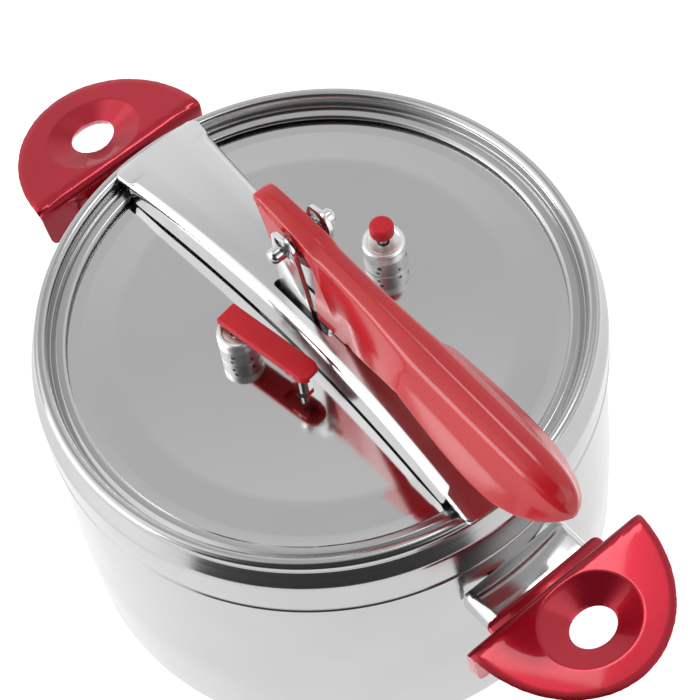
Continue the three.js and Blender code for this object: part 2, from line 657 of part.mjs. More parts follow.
function releasePost() {
  const shank = join(
    rod(POST_R, LID_Z - LID_T - 2, FLAG_PIN_Z, [0, 0], 12),
    rod(POST_R * 2, LID_Z + GAP, LID_Z + 2.2, [0, 0], 6),
    rod(POST_R * 1.8, LID_Z - LID_T - 2.4, LID_Z - LID_T - GAP, [0, 0], 12),
  );
  const eye = rodY(POST_R - 0.1, -POST_R + 0.2, POST_R - 0.2, 0, FLAG_PIN_Z, 12);
  const bore = rodY(1 + 0.2, -8, 8, 0, FLAG_PIN_Z, 12);
  add('release_post', atPost(cut(join(shank, eye), bore)), STEEL);
  const pin = rodY(1, -5, 5, 0, FLAG_PIN_Z, 12);
  add('release_pin', atPost(pin), STEEL);
}

// ---------------------------------------------------------------- assembly
potBody();
base();
[['right', 0], ['left', Math.PI]].forEach(([side, turn]) => {
  sideHandle(`handle_${side}`, turn);
  handleBracket(`handle_bracket_${side}`, turn);
  handleScrew(`handle_screw_${side}_1`, -SCREW_Y, turn);
  handleScrew(`handle_screw_${side}_2`, SCREW_Y, turn);
});
lidPlate();
lidGasket();
pivotBracket();
bracketRivets();
bridgeBar();
leverHandle();
leverCam();
pivotPin();
safetyValve();
workingValve();
releaseLever();
releasePost();

export default group;
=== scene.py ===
"""Inner-lid pressure cooker: fine meshes, materials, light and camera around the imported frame."""
import math

import bmesh
import bpy
from mathutils import Matrix, Vector


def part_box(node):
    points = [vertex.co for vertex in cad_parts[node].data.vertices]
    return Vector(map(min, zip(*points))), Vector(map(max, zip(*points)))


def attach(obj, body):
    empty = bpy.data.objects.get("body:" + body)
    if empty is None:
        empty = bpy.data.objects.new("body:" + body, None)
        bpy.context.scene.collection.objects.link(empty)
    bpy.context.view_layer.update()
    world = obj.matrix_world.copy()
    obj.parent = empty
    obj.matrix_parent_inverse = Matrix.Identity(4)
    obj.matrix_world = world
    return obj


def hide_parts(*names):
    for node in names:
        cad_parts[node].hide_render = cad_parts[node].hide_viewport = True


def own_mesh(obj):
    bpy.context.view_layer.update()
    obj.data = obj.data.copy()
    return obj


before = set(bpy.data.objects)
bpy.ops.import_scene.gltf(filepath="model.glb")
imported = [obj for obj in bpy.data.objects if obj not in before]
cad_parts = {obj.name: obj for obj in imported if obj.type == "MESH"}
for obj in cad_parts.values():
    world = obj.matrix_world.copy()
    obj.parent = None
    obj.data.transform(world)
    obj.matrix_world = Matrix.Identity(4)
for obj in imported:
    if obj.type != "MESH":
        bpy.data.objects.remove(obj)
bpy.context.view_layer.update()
MM = 0.001


def corner(node, which, axis):
    """One coordinate of a CAD node's box, in mm. which is 0 for the low corner, 1 for the high one."""
    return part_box(node)[which][axis] / MM


# ---------------------------------------------------------------- places from the frame, in mm
RIM_Z = corner("pot_body", 1, 2)  # top of the rolled rim
LID_Z = corner("lid_plate", 1, 2)  # top of the lid
FLOOR_Z = corner("pot_body", 0, 2)  # underside of the pot's own floor
BELLY_R = corner("pot_body", 1, 0)
BASE_R = corner("base_cap", 1, 0)
LID_FLANGE_R = corner("lid_plate", 1, 0)
GASKET_R = corner("lid_gasket", 1, 0)
BAR_X0, BAR_X1 = corner("bridge_bar", 0, 0), corner("bridge_bar", 1, 0)
PIN_X = (corner("pivot_pin", 0, 0) + corner("pivot_pin", 1, 0)) / 2
PIN_Z = (corner("pivot_pin", 0, 2) + corner("pivot_pin", 1, 2)) / 2
PIN_HALF = corner("pivot_pin", 1, 1)
PIN_R = corner("pivot_pin", 1, 2) - PIN_Z
HANDLE_TIP = corner("handle_right", 1, 0)
HANDLE_LOW = corner("handle_right", 0, 2)


def middle(node):
    """Centre of a node in X and Y, in mm."""
    return [(corner(node, 0, k) + corner(node, 1, k)) / 2 for k in (0, 1)]


SAFETY_AT = middle("safety_valve_body")
WORKING_AT = middle("working_valve_body")
POST_AT = middle("release_post")
VALVE_TOP = corner("safety_valve_body", 1, 2)

# Shape values that the node boxes don't give, in mm. The rim, its inner lip, the shoulder, the lid's
# edge and the bar's sides differ from the CAD, to look like the photo.
RIM_IN, RIM_OUT, RIM_DEEP = 114.0, 120.0, 6.0
MOUTH_R = 106.8  # free edge of the inner lip, which the CAD doesn't have
SHOULDER_R = 119.0  # wall just under the rolled rim
BELLY_Z = 60.0  # height where the lower wall reaches its full radius
COLLAR_R, COLLAR_TOP, COLLAR_LOW = 123.2, RIM_Z - 15, RIM_Z - 33.5
WALL = 1.8
LID_EDGE_R = 109.6
HANDLE_X, HANDLE_HALF, HANDLE_DROOP = 146.0, 46.8, 0.11
HANDLE_Z = RIM_Z - 34.5
BRACKET_Z, BRACKET_HALF = RIM_Z - 48, 27.0
BAR_CROWN, BAR_END_RISE, BAR_T = 8.3, 2.6, 2.2
BAR_HALF_MID, BAR_HALF_END, BAR_Y = 16.2, 23.0, 2.8
BAR_LOW_Z = RIM_Z - 8.2  # sides' lower edge: at rest they overlap two rivet heads by up to 0.2 mm
BAR_FLANGE_X = 102.5  # where the sides start to run out
EAR_T, EAR_FOOT_Y, EAR_TOP_Y, EAR_R = 2.0, 5.0, 9.8, 8.8
FLAG_TURN = math.radians(8.5)
FLAG_HALF, FLAG_LENGTH, FLAG_T = 5.4, 45.0, 3.0
FLAG_Z = VALVE_TOP + 1.7
SAFETY_R, WORKING_R = 9.5, 8.6  # valve bodies
SAFETY_COLLAR_Z, WORKING_COLLAR_Z = LID_Z + 2.2, LID_Z + 12  # undersides of the stems' collars


# ---------------------------------------------------------------- node materials
def new_material(name):
    material = bpy.data.materials.new(name)
    material.use_nodes = True
    tree = material.node_tree
    return material, tree, tree.nodes["Principled BSDF"]


NOISE_RANGE = (0.3, 0.7)  # where most of a noise's values lie
CLOUD_SCALE, SKIN_CLOUD_SCALE, SKIN_SCALE = 9.0, 22.0, 900.0


def noise(tree, scale, stretch=(1, 1, 1), detail=4.0):
    """Noise in the object's own metres, stretched along an axis for grain."""
    coords = tree.nodes.new("ShaderNodeTexCoord")
    mapping = tree.nodes.new("ShaderNodeMapping")
    mapping.inputs["Scale"].default_value = stretch
    texture = tree.nodes.new("ShaderNodeTexNoise")
    texture.inputs["Scale"].default_value = scale
    texture.inputs["Detail"].default_value = detail
    tree.links.new(coords.outputs["Object"], mapping.inputs["Vector"])
    tree.links.new(mapping.outputs["Vector"], texture.inputs["Vector"])
    return texture.outputs["Fac"]


def ring_noise(tree, scale):
    """Noise that runs round the Z axis, as spinning and polishing leaves it."""
    coords = tree.nodes.new("ShaderNodeTexCoord")
    flat = tree.nodes.new("ShaderNodeVectorMath")
    flat.operation = "MULTIPLY"
    flat.inputs[1].default_value = (1, 1, 0)
    length = tree.nodes.new("ShaderNodeVectorMath")
    length.operation = "LENGTH"
    split = tree.nodes.new("ShaderNodeSeparateXYZ")
    joined = tree.nodes.new("ShaderNodeCombineXYZ")
    texture = tree.nodes.new("ShaderNodeTexNoise")
    texture.inputs["Scale"].default_value = scale
    texture.inputs["Detail"].default_value = 5.0
    tree.links.new(coords.outputs["Object"], flat.inputs[0])
    tree.links.new(flat.outputs["Vector"], length.inputs[0])
    tree.links.new(coords.outputs["Object"], split.inputs[0])
    tree.links.new(length.outputs["Value"], joined.inputs["X"])
    tree.links.new(split.outputs["Z"], joined.inputs["Y"])
    tree.links.new(joined.outputs["Vector"], texture.inputs["Vector"])
    return texture.outputs["Fac"]


def ramp(tree, source, low, high):
    """A colour between low and high, as the noise goes."""
    node = tree.nodes.new("ShaderNodeValToRGB")
    for element, position, colour in zip(node.color_ramp.elements, NOISE_RANGE, (low, high)):
        element.position = position
        element.color = (*colour, 1)
    tree.links.new(source, node.inputs["Fac"])
    return node.outputs["Color"]


def spread(tree, source, low, high):
    """A value between low and high, as the noise goes."""
    node = tree.nodes.new("ShaderNodeMapRange")
    node.inputs["From Min"].default_value, node.inputs["From Max"].default_value = NOISE_RANGE
    node.inputs["To Min"].default_value = low
    node.inputs["To Max"].default_value = high
    tree.links.new(source, node.inputs["Value"])
    return node.outputs["Result"]


def bump(tree, shader, source, distance):
    """Relief on a shader; distance is its height in metres."""
    node = tree.nodes.new("ShaderNodeBump")
    node.inputs["Strength"].default_value = 1.0
    node.inputs["Distance"].default_value = distance
    tree.links.new(source, node.inputs["Height"])
    tree.links.new(node.outputs["Normal"], shader.inputs["Normal"])


def metal(name, grey, rough, grain, relief, rings=False):
    """Steel or aluminium. grey and rough are (low, high), grain is (scale, stretch) and relief is the
    bump's height in metres. With rings, the grain runs round the Z axis."""
    material, tree, shader = new_material(name)
    fine = ring_noise(tree, grain[0]) if rings else noise(tree, *grain)
    cloud = noise(tree, CLOUD_SCALE)
    low, high = ((value,) * 3 for value in grey)
    shader.inputs["Metallic"].default_value = 1.0
    tree.links.new(ramp(tree, cloud, low, high), shader.inputs["Base Color"])
    tree.links.new(spread(tree, fine, *rough), shader.inputs["Roughness"])
    bump(tree, shader, fine, relief)
    return material


def plastic(name, low, high, rough, coat, relief, metallic=0.0, gloss=0.35):
    """Plastic or rubber between two colours, with a fine moulded skin."""
    material, tree, shader = new_material(name)
    cloud = noise(tree, SKIN_CLOUD_SCALE)
    skin = noise(tree, SKIN_SCALE, detail=2.0)
    shader.inputs["Metallic"].default_value = metallic
    shader.inputs["Specular IOR Level"].default_value = gloss
    shader.inputs["Coat Weight"].default_value = coat
    shader.inputs["Coat Roughness"].default_value = 0.04
    tree.links.new(ramp(tree, cloud, low, high), shader.inputs["Base Color"])
    tree.links.new(spread(tree, skin, *rough), shader.inputs["Roughness"])
    bump(tree, shader, skin, relief)
    return material


MIRROR = metal("polished_steel_turned", (0.58, 0.64), (0.05, 0.09), (900.0, None), 6e-8, rings=True)
POT_STEEL = metal("polished_steel_pot", (0.43, 0.49), (0.15, 0.22), (700.0, None), 6e-8, rings=True)
LID_STEEL = metal("polished_steel_lid", (0.62, 0.66), (0.07, 0.10), (900.0, None), 1e-7, rings=True)
BAR_STEEL = metal("polished_steel_bar", (0.64, 0.70), (0.14, 0.24), (240.0, (1, 18, 18)), 1e-6)
FOLDED = metal("brushed_steel_folded", (0.66, 0.72), (0.07, 0.13), (300.0, (14, 1, 14)), 4e-7)
PLATE = metal("brushed_steel_plate", (0.62, 0.70), (0.16, 0.26), (300.0, (14, 14, 1)), 8e-7)
ALU = metal("aluminium_turned", (0.80, 0.87), (0.30, 0.42), (260.0, (1, 1, 14)), 1e-6)
HANDLE_RED = plastic("red_metallic_plastic", (0.36, 0.005, 0.018), (0.43, 0.008, 0.027), (0.22, 0.26),
                     coat=0.5, relief=3e-8, metallic=0.7)
LEVER_RED = plastic("red_gloss_plastic", (0.42, 0.010, 0.016), (0.46, 0.015, 0.021), (0.14, 0.18),
                    coat=0.0, relief=1e-7, gloss=0.5)
SIGNAL_RED = plastic("red_moulded_plastic", (0.45, 0.008, 0.015), (0.51, 0.012, 0.021), (0.34, 0.46),
                     coat=0.0, relief=3e-6, gloss=0.25)
RUBBER = plastic("dark_rubber_skin", (0.05, 0.05, 0.052), (0.085, 0.085, 0.088), (0.30, 0.42),
                 coat=0.0, relief=4e-6, gloss=0.8)
SILICONE = plastic("grey_silicone_skin", (0.20, 0.21, 0.22), (0.27, 0.28, 0.29), (0.5, 0.65),
                   coat=0.0, relief=5e-6)


# ---------------------------------------------------------------- mesh helpers
AROUND = 256  # segments of the large turned pieces


def make(name, verts, faces, material, body, slot, nodes=(), sharp=32.0):
    """A smooth-shaded piece from millimetre points; edges over the sharp angle stay crisp."""
    mesh = bpy.data.meshes.new(name)
    mesh.from_pydata([[c * MM for c in v] for v in verts], [], faces)
    bm = bmesh.new()
    bm.from_mesh(mesh)
    bmesh.ops.remove_doubles(bm, verts=bm.verts, dist=1e-6)
    bmesh.ops.recalc_face_normals(bm, faces=bm.faces)
    bm.to_mesh(mesh)
    bm.free()
    mesh.materials.append(material)
    piece = bpy.data.objects.new(name, mesh)
    bpy.context.scene.collection.objects.link(piece)
    smooth(piece, sharp)
    if body:
        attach(piece, body)
    if nodes:
        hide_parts(*nodes)
    return piece


def smooth(piece, sharp):
    piece.data.shade_smooth()
    piece.data.set_sharp_from_angle(angle=math.radians(sharp))


def apply_modifiers(piece, sharp=32.0):
    """Keeps the result of the piece's modifiers as its mesh."""
    graph = bpy.context.evaluated_depsgraph_get()
    result = bpy.data.meshes.new_from_object(piece.evaluated_get(graph), depsgraph=graph)
    piece.modifiers.clear()
    piece.data = result
    smooth(piece, sharp)


def boolean(piece, tool, operation, sharp=32.0):
    """Cuts or joins a tool body, which is then deleted."""
    modifier = piece.modifiers.new("cut", "BOOLEAN")
    modifier.operation = operation
    modifier.solver = "EXACT"
    modifier.object = tool
    bpy.context.view_layer.update()
    apply_modifiers(piece, sharp)
    bpy.data.objects.remove(tool)


def bevel(piece, width, segments, angle, sharp=40.0):
    """Rounds the edges over an angle in degrees; width is in mm."""
    modifier = piece.modifiers.new("bevel", "BEVEL")
    modifier.width = width * MM
    modifier.segments = segments
    modifier.limit_method = "ANGLE"
    modifier.angle_limit = math.radians(angle)
    modifier.use_clamp_overlap = True
    bpy.context.view_layer.update()
    apply_modifiers(piece, sharp)


def rounded(points, steps=6):
    """A path through (x, z) or (x, z, radius) points, with an arc at each corner that has a radius."""
    path = []
    for i, point in enumerate(points):
        here = Vector(point[:2])
        radius = point[2] if len(point) > 2 else 0
        if not radius or i in (0, len(points) - 1):
            path.append(tuple(here))
            continue
        back = (Vector(points[i - 1][:2]) - here)
        ahead = (Vector(points[i + 1][:2]) - here)
        half_angle = back.angle(ahead) / 2
        reach = min(radius / math.tan(half_angle), back.length * 0.49, ahead.length * 0.49)
        size = reach * math.tan(half_angle)
        bisector = (back.normalized() + ahead.normalized()).normalized()
        centre = here + bisector * (size / math.sin(half_angle))
        start = here + back.normalized() * reach - centre
        stop = here + ahead.normalized() * reach - centre
        sweep = start.angle_signed(stop)
        for k in range(steps + 1):
            turned = start.copy()
            turned.rotate(Matrix.Rotation(-sweep * k / steps, 2))
            path.append(tuple(centre + turned))
    return path


def lathe(path, at=(0, 0), segments=192):
    """Verts and faces of a path turned about Z. Points at radius 0 close the ends."""
    verts, rows, faces = [], [], []
    for r, z in path:
        if r < 1e-6:
            rows.append([len(verts)])
            verts.append((at[0], at[1], z))
            continue
        rows.append(list(range(len(verts), len(verts) + segments)))
        for k in range(segments):
            a = 2 * math.pi * k / segments
            verts.append((at[0] + r * math.cos(a), at[1] + r * math.sin(a), z))
    for low, high in zip(rows, rows[1:]):
        for k in range(segments):
            n = (k + 1) % segments
            ring = [low[k % len(low)], low[n % len(low)], high[n % len(high)], high[k % len(high)]]
            faces.append(list(dict.fromkeys(ring)))
    return verts, [f for f in faces if len(f) > 2]


def turned(name, path, material, body, slot, nodes=(), at=(0, 0), segments=192, sharp=32.0):
    """A piece turned about Z. A path that doesn't start on the axis is closed into a ring."""
    if path[0][0] > 1e-6:
        path = [*path, path[0]]
    return make(name, *lathe(path, at, segments), material, body, slot, nodes, sharp)


def loft(rings, closed=True):
    """Verts and faces through rings of equally many points, with capped ends where closed."""
    n = len(rings[0])
    verts = [v for ring in rings for v in ring]
    faces = []
    for i in range(len(rings) - 1):
        for j in range(n):
            k = (j + 1) % n
            faces.append([i * n + j, i * n + k, (i + 1) * n + k, (i + 1) * n + j])
    if closed:
        faces.append(list(range(n))[::-1])
        faces.append(list(range((len(rings) - 1) * n, len(rings) * n)))
    return verts, faces


def tool(verts, faces):
    """A hidden cutting or joining body that a boolean uses up."""
    return make("tool", verts, faces, MIRROR, None, None)


def cylinder(radius, start, stop, segments=32):
    """Verts and faces of a rod between two points."""
    a, b = Vector(start), Vector(stop)
    side = (b - a).orthogonal().normalized()
    other = (b - a).normalized().cross(side)
    rings = []
    for end in (a, b):
        turn = [2 * math.pi * k / segments for k in range(segments)]
        rings.append([tuple(end + radius * (math.cos(t) * side + math.sin(t) * other)) for t in turn])
    return loft(rings)


def merged(*parts):
    """Several bodies as one list of verts and faces."""
    verts, faces = [], []
    for v, f in parts:
        faces += [[i + len(verts) for i in face] for face in f]
        verts += v
    return verts, faces


def arc(cx, cz, rx, rz, start, stop, steps, power=2.0):
    """Points of an ellipse, or of a squarer oval where power is over 2."""
    points = []
    for k in range(steps + 1):
        a = math.radians(start + (stop - start) * k / steps)
        c, s = math.cos(a), math.sin(a)
        x = math.copysign(abs(c) ** (2 / power), c)
        z = math.copysign(abs(s) ** (2 / power), s)
        points.append((cx + rx * x, cz + rz * z))
    return points


# ---------------------------------------------------------------- pot
def build_pot():
    rim_r, rim_half = (RIM_IN + RIM_OUT) / 2, (RIM_OUT - RIM_IN) / 2
    rim_z = RIM_Z - RIM_DEEP / 2
    outside = [
        (0, FLOOR_Z), (BELLY_R - 0.8, FLOOR_Z, 14), (BELLY_R, BELLY_Z, 400),
        (COLLAR_R - 1.2, COLLAR_LOW - 2.2, 0.8), (COLLAR_R + 0.3, COLLAR_LOW - 0.4, 0.5),
        (COLLAR_R + 0.3, COLLAR_LOW + 0.5, 0.5), (COLLAR_R - 0.4, COLLAR_LOW + 1.5, 0.5),
        (COLLAR_R, COLLAR_LOW + 2.8, 0.6), (COLLAR_R, COLLAR_TOP + 1.6, 5),
        (SHOULDER_R, COLLAR_TOP + 8.6, 0.8), (SHOULDER_R - 0.1, COLLAR_TOP + 9.4),
    ]
    rim = arc(rim_r, rim_z, rim_half, RIM_DEEP / 2, -38, 205, 36, 2.1)
    inside = [
        (RIM_IN + 0.2, RIM_Z - 4.8), (RIM_IN - 0.6, RIM_Z - 6.6, 0.5), (RIM_IN - 3.4, RIM_Z - 5.6, 1.8),
        (MOUTH_R + 1.2, RIM_Z - 6.0, 1.4), (MOUTH_R, RIM_Z - 6.8, 0.5), (MOUTH_R, RIM_Z - 7.5, 0.4),
        (MOUTH_R + 1.8, RIM_Z - 8.0, 0.6), (RIM_IN, RIM_Z - 8.1, 0.6),
        (SHOULDER_R - 2.2, RIM_Z - 8.4, 0.5),
        (SHOULDER_R - 1.7, COLLAR_TOP + 5.4, 1.5),
        (COLLAR_R - WALL, COLLAR_TOP - 0.6, 2), (COLLAR_R - WALL, COLLAR_LOW, 1),
        (COLLAR_R - 1.2 - WALL, COLLAR_LOW - 2.2, 1), (BELLY_R - WALL, BELLY_Z, 300),
        (BELLY_R - 0.8 - WALL, FLOOR_Z + WALL, 12), (0, FLOOR_Z + WALL),
    ]
    path = rounded(outside, 10) + rim + rounded(inside, 8)
    turned("pot", path, POT_STEEL, "pot", "polished_steel", ["pot_body"], segments=AROUND)


def build_base():
    top = corner("base_cap", 1, 2)
    path = rounded([
        (0, 0), (BASE_R - 30, 0), (BASE_R - 28, 0.5, 1), (BASE_R - 2, 0.5, 2.4), (BASE_R, 2.6, 1),
        (BASE_R, top - 0.6, 0.4), (BASE_R - 0.6, top, 0.3), (BASE_R - 0.9, top),
        (BASE_R - 0.9, 0.9), (0, 0.9),
    ])
    turned("base_pan", path, POT_STEEL, "pot", "polished_steel", ["base_cap"], segments=AROUND)


# ---------------------------------------------------------------- side handles
HANDLE_T = 4.2
DISH_X, DISH_A, DISH_B, DISH_DEEP = 22.9, 19.4, 23.0, 4.4
HOLE_X, HOLE_A, HOLE_B = 25.1, 8.3, 10.7
FOLD = 6.2  # half length of the bend at the ridge
SKIRT_CORNER = 5.0
LIP_HALF = {1: 31, -1: 22}  # half length of each handle's inner ledge, by its side of the pot
SKIN_STOPS = 24  # rings from the dish to the handle's edge


def ray_length(angle):
    """Distances from the dish's centre to the unfolded outline and to the ridge, along one angle."""
    reach = HANDLE_TIP - HANDLE_X
    drop = HANDLE_Z - HANDLE_LOW
    c, s = math.cos(angle), math.sin(angle)
    total = 0.0
    while True:  # the outline is star-shaped about the dish, so a march finds it
        total += 0.25
        u, v = DISH_X + total * c, total * s
        if u >= 0:
            inside = (u / reach) ** 2 + (v / HANDLE_HALF) ** 2 < 1
        else:
            side = HANDLE_HALF - 0.07 * -u
            low = max(0.0, -u - (drop - SKIRT_CORNER)) / SKIRT_CORNER
            wide = max(0.0, abs(v) - (side - SKIRT_CORNER)) / SKIRT_CORNER
            inside = -u < drop and abs(v) < side and low ** 2 + wide ** 2 < 1
        if not inside:
            break
    ridge = min(total, -DISH_X / c) if c < 0 and -DISH_X / c > 0 else total
    return total, ridge


def fold_point(u, v, lift):
    """A point of the handle from unfolded (u, v) and a height over the skin. u < 0 is the wall."""
    out = Vector((math.cos(HANDLE_DROOP), 0, -math.sin(HANDLE_DROOP)))
    down = Vector((0, 0, -1))
    up_out = Vector((math.sin(HANDLE_DROOP), 0, math.cos(HANDLE_DROOP)))
    back = Vector((-1, 0, 0))
    ridge = Vector((HANDLE_X, v, HANDLE_Z))
    if u >= FOLD:
        return ridge + out * u + up_out * lift
    if u <= -FOLD:
        return ridge + down * -u + back * lift
    mix = (u + FOLD) / (2 * FOLD)
    place = out * ((u + FOLD) ** 2 / (4 * FOLD)) + down * ((FOLD - u) ** 2 / (4 * FOLD))
    return ridge + place + (up_out * mix + back * (1 - mix)).normalized() * lift


def dish_depth(u, v):
    """Depth of the oval dish: a straight cone with a soft upper edge."""
    slope, soft = 0.56, 0.035  # shares of the dish's radius: the cone's run and its soft edge
    e = math.hypot((u - DISH_X) / DISH_A, v / DISH_B)
    if abs(e - 1) < soft:
        return DISH_DEEP / slope * (1 - e + soft) ** 2 / (4 * soft)
    return max(0.0, 1 - e) / slope * DISH_DEEP


def handle_skin():
    """Rings round the hole, the dish, the panel, the fold and the wall, in the unfolded plane."""
    around = 144
    dish = [k / 9 for k in range(9)] + [0.96, 0.975, 0.99, 1.0, 1.01, 1.02, 1.03, 1.05]
    rings = [[] for _ in range(len(dish) + SKIN_STOPS)]
    centre = Vector((DISH_X, 0))
    for j in range(around):
        angle = 2 * math.pi * j / around
        c, s = math.cos(angle), math.sin(angle)
        hole = Vector((HOLE_X + HOLE_A * c, HOLE_B * s))
        edge = Vector((DISH_X + DISH_A * c, DISH_B * s))
        direction = math.atan2(edge.y, edge.x - DISH_X)
        total, ridge = ray_length(direction)
        ray = Vector((math.cos(direction), math.sin(direction)))
        start = (edge - centre).length * 1.05
        if ray.x < 0 and ridge < total - 1:
            slant = min(FOLD / abs(ray.x) * 1.2, total - ridge - 1)
            before, after = max(start + 0.4, ridge - slant), min(ridge + slant, total - 1.6)
        else:
            before, after = start + (total - start) * 0.6, start + (total - start) * 0.9
        stops = [start + (before - start) * k / 8 for k in range(1, 9)]
        stops += [before + (after - before) * k / 9 for k in range(1, 10)]
        stops += [after + (total - 0.9 - after) * k / 5 for k in range(1, 6)]
        stops += [total - 0.35, total]
        for k, f in enumerate(dish):
            point = hole.lerp(edge, f) if f <= 1 else centre + (edge - centre) * f
            rings[k].append((point.x, point.y, -dish_depth(point.x, point.y)))
        for k, length in enumerate(stops):
            point = centre + ray * length
            curl = -0.6 * max(0.0, 1 - (total - length) / 3.5) ** 2
            rings[len(dish) + k].append((point.x, point.y, curl if point.x > 0 else curl * 0.4))
    return rings


def build_handle(name, side):
    rings = [[tuple(fold_point(*p)) for p in ring] for ring in handle_skin()]
    verts, faces = loft(rings, closed=False)
    piece = make(f"{name}_shell", verts, faces, HANDLE_RED, None, None)
    solid = piece.modifiers.new("thickness", "SOLIDIFY")
    solid.thickness = HANDLE_T * MM
    solid.offset = -1
    solid.use_even_offset = False
    edge = piece.modifiers.new("edge", "BEVEL")
    edge.width = 1.3 * MM
    edge.segments = 4
    edge.limit_method = "ANGLE"
    edge.angle_limit = math.radians(60)
    bpy.context.view_layer.update()
    apply_modifiers(piece, 50)
    low, high = BRACKET_Z + 0.3, BRACKET_Z + 3.4
    lip = rounded_bar(HANDLE_X - 7, HANDLE_X - 0.5, LIP_HALF[side], low, high, 1.4)
    boolean(piece, tool(*lip), "UNION", 50)
    if side < 0:
        piece.data.transform(Matrix.Rotation(math.pi, 4, "Z"))
    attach(piece, "pot")
    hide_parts(name)


def rounded_bar(x0, x1, half, z0, z1, radius):
    """A bar along Y with rounded long edges and rounded ends in plan."""
    outline = rounded([(x1, -half), (x1, half), (x0, half, 3.5), (x0, -half, 3.5), (x1, -half)], 6)[:-1]
    rings = []
    for inset, z in ((radius, z0), (radius * 0.3, z0 + radius * 0.3), (0, z0 + radius),
                     (0, z1 - radius), (radius * 0.3, z1 - radius * 0.3), (radius, z1)):
        scale = (half - inset) / half
        rings.append([(x1 - (x1 - x) * (1 - inset / (x1 - x0)), y * scale, z) for x, y in outline])
    return loft(rings)


def build_bracket(name, side):
    """Folded channel from the pot's wall to the handle, with round long edges."""
    low, deep = HANDLE_LOW + 2, 4.0
    half = BRACKET_HALF
    outer = rounded([(half, low), (half, BRACKET_Z, deep), (-half, BRACKET_Z, deep), (-half, low)], 10)
    inner = rounded([(-half + 2, low), (-half + 2, BRACKET_Z - 2, deep - 2),
                     (half - 2, BRACKET_Z - 2, deep - 2), (half - 2, low)], 10)
    section = outer + inner
    end = HANDLE_X - 4
    rings = []
    for f in (0, 0.06, 0.12, 0.3, 0.5, 0.7, 0.88, 0.94, 1):
        ring = []
        for y, z in section:
            wall = math.sqrt((BELLY_R + 0.1) ** 2 - y * y)
            pinch = 0.7 * max(0.0, 1 - min(f, 1 - f) / 0.1)
            sink = pinch if z > BRACKET_Z - 2.5 else 0
            ring.append((wall + (end - wall) * f, y * (1 - pinch * 0.01), z - sink * 0.4))
        rings.append(ring)
    piece = make(f"{name}_fold", *loft(rings), FOLDED, None, None, sharp=38)
    if side < 0:
        piece.data.transform(Matrix.Rotation(math.pi, 4, "Z"))
    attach(piece, "pot")
    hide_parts(name)


# ---------------------------------------------------------------- lid
def build_lid():
    """Flat lid, a little above the CAD's top, whose outer ring rises to its edge; valve holes."""
    top, crown, edge_rise = LID_Z, 0.55, 1.9
    slope_r, brim_r = 86.0, 101.0
    path = rounded([
        (0, top - 2), (LID_EDGE_R - 7, top - 2, 1), (LID_EDGE_R - 4, top - 3.4, 1),
        (LID_EDGE_R - 4, top - 5.4, 1), (LID_FLANGE_R, top - 5.6, 0.3), (LID_FLANGE_R, top - 4, 0.3),
        (LID_EDGE_R, top - 4, 1.0), (LID_EDGE_R, top + edge_rise, 0.8),
        (brim_r, top + edge_rise - 0.2, 8),
        (slope_r, top + crown, 60), (0, top + crown),
    ], 12)
    piece = turned("lid", path, LID_STEEL, "lid", "polished_steel", ["lid_plate"],
                   segments=AROUND, sharp=40)
    holes = [cylinder(5.3, (x, y, top - 6), (x, y, top + 3)) for x, y in (SAFETY_AT, WORKING_AT)]
    boolean(piece, tool(*merged(*holes)), "DIFFERENCE", 40)


def build_gasket():
    top = RIM_Z - 9.0
    low = corner("lid_gasket", 0, 2)
    inner = LID_EDGE_R + 0.4
    path = rounded([
        (inner, LID_Z - 3.6), (inner, LID_Z - 0.4, 0.5), (inner + 1.5, top, 0.8),
        (GASKET_R - 1.8, top, 1.2), (GASKET_R, top - 2.2, 1), (GASKET_R, low + 1.4, 0.8),
        (GASKET_R - 1.4, low, 0.8), (inner - 0.7, low, 0.8), (inner - 0.7, LID_Z - 6.2),
        (LID_FLANGE_R + 0.3, LID_Z - 6.2), (LID_FLANGE_R + 0.3, LID_Z - 3.6), (inner, LID_Z - 3.6),
    ])
    turned("gasket_ring", path[:-1], RUBBER, "lid", "black_rubber", ["lid_gasket"], segments=AROUND)


# ---------------------------------------------------------------- bridge bar
BAR_MID = (BAR_X0 + BAR_X1) / 2
BAR_SPAN = (BAR_X1 - BAR_X0) / 2


def bar_top(x):
    return RIM_Z + BAR_CROWN - (BAR_CROWN - BAR_END_RISE) * ((x - BAR_MID) / BAR_SPAN) ** 2


def bar_half(x):
    flare = abs((x - BAR_MID) / BAR_SPAN) ** 1.8
    return BAR_HALF_MID + (BAR_HALF_END - BAR_HALF_MID) * flare


def bar_section(x, deep):
    """Outline of the bar at x. deep is the depth of its turned-down edges there."""
    half, top = bar_half(x), bar_top(x)
    plan_r = 4  # the bar's corners, seen from above
    end = max(0.0, plan_r - (BAR_SPAN - abs(x - BAR_MID)))
    half -= plan_r - math.sqrt(max(0.0, plan_r ** 2 - end * end))
    radius = min(4.4, deep * 0.75)
    inner = max(0.3, radius - BAR_T)
    crown = 0.5
    outer = rounded([
        (half, top - deep), (half - 0.2, top - 0.1, radius), (half * 0.4, top + crown * 0.8, 60),
        (-half * 0.4, top + crown * 0.8, 60), (-half + 0.2, top - 0.1, radius), (-half, top - deep),
    ], 12)
    low = top - deep
    roof = max(low + 0.05, top - BAR_T)
    if roof - low < 0.5:
        roof = low + 0.02
    inside = rounded([
        (-half + BAR_T, low), (-half + BAR_T, roof, inner), (0, roof + 0.01),
        (half - BAR_T, roof, inner), (half - BAR_T, low),
    ], 8)
    return [(x, y + BAR_Y, z) for y, z in outer + inside]


